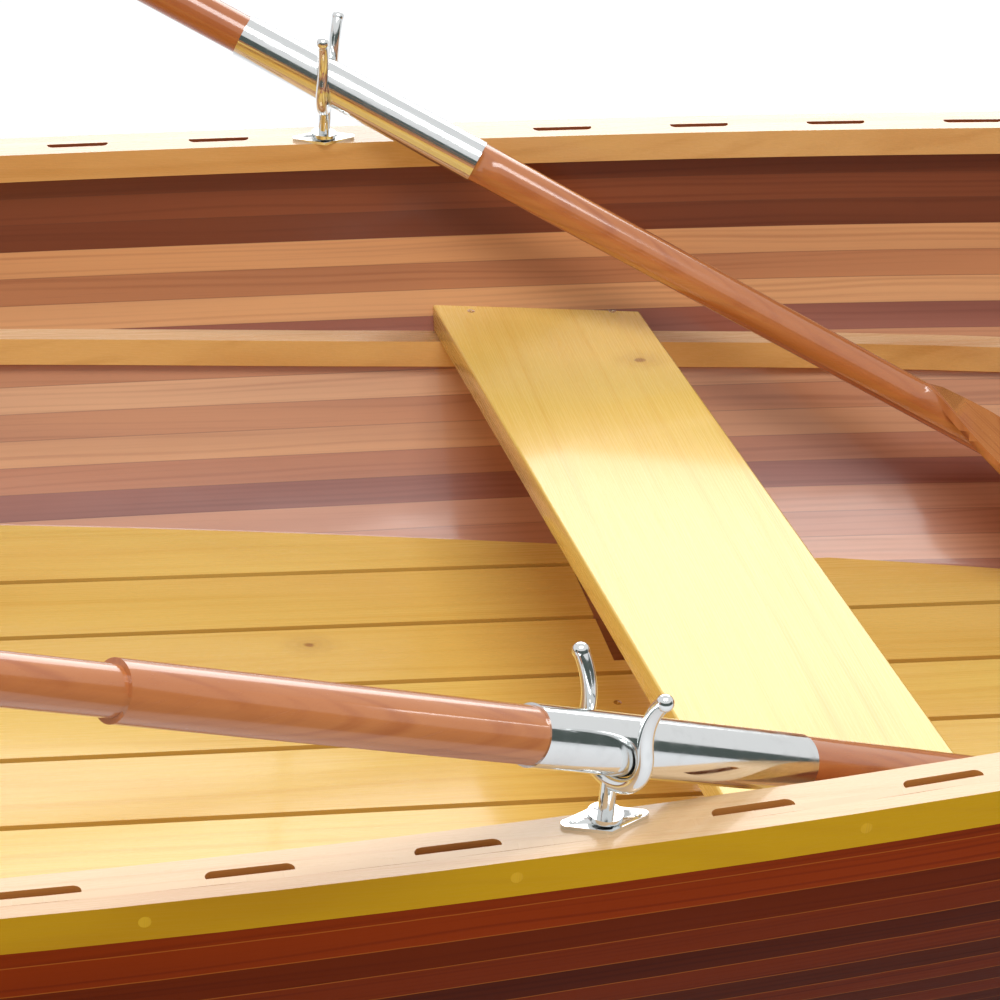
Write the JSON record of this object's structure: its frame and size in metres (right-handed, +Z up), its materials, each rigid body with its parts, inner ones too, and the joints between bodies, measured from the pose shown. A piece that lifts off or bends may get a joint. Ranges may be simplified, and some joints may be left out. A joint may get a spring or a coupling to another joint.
{
  "type": "rowing boat",
  "caption": "Strip-planked cedar rowing boat with slotted gunwales, thwarts, floorboards, open horn oarlocks and a pair of wooden oars with metal sleeves.",
  "frame": {"origin": "on the waterline, amidships on the centreline", "axes": "+X forward to the bow, +Y to port, +Z up"},
  "size_m": [5.2304, 1.8237, 0.8958],
  "materials": {
    "cedar": "varnished strip planking in mixed tones",
    "pale_wood": "varnished",
    "pine": "varnished",
    "transom_wood": "varnished",
    "oar_wood": "varnished",
    "polished_metal": "polished"
  },
  "bodies": {
    "boat": {"transom": "transom_wood", "keel": "cedar", "skeg": "cedar", "stem": "pale_wood", "bow_eye": "polished_metal", "breasthook": "pale_wood", "forward_thwart": "pine", "centre_thwart": "pine", "bow_seat": "pine", "stern_seat": "pine", "floorboards": "pine", "floor_bearers": "pine", "sheer_strake_starboard": "cedar", "side_planking_starboard": "cedar", "bottom_planking_starboard": "cedar", "outwale_starboard": "pale_wood", "inwale_starboard": "pale_wood", "quarter_knee_starboard": "pale_wood", "riser_starboard": "pale_wood", "socket_forward_starboard": "polished_metal", "socket_aft_starboard": "polished_metal", "sheer_strake_port": "cedar", "side_planking_port": "cedar", "bottom_planking_port": "cedar", "outwale_port": "pale_wood", "inwale_port": "pale_wood", "quarter_knee_port": "pale_wood", "riser_port": "pale_wood", "socket_forward_port": "polished_metal", "socket_aft_port": "polished_metal"},
    "oarlock_starboard": {"oarlock_starboard": "polished_metal"},
    "oar_starboard": {"oar_starboard": "oar_wood", "oar_sleeve_starboard": "polished_metal"},
    "oarlock_port": {"oarlock_port": "polished_metal"},
    "oar_port": {"oar_port": "oar_wood", "oar_sleeve_port": "polished_metal"}
  },
  "joints": [
    {"name": "oarlock_swivel_starboard", "type": "hinge", "parent": "boat", "child": "oarlock_starboard", "pos_m": [0.375, -0.6485, 0.463], "axis": [0, 0, 1], "range_deg": [0, 7]},
    {"name": "oar_lift_starboard", "type": "hinge", "parent": "oarlock_starboard", "child": "oar_starboard", "pos_m": [0.375, -0.6485, 0.531], "axis": [0.3907, -0.9205, 0], "range_deg": [0, 36]},
    {"name": "oarlock_swivel_port", "type": "hinge", "parent": "boat", "child": "oarlock_port", "pos_m": [0.375, 0.6485, 0.463], "axis": [0, 0, -1], "range_deg": [0, 7]},
    {"name": "oar_lift_port", "type": "hinge", "parent": "oarlock_port", "child": "oar_port", "pos_m": [0.375, 0.6485, 0.531], "axis": [-0.3786, -0.9255, 0], "range_deg": [0, 36]}
  ]
}
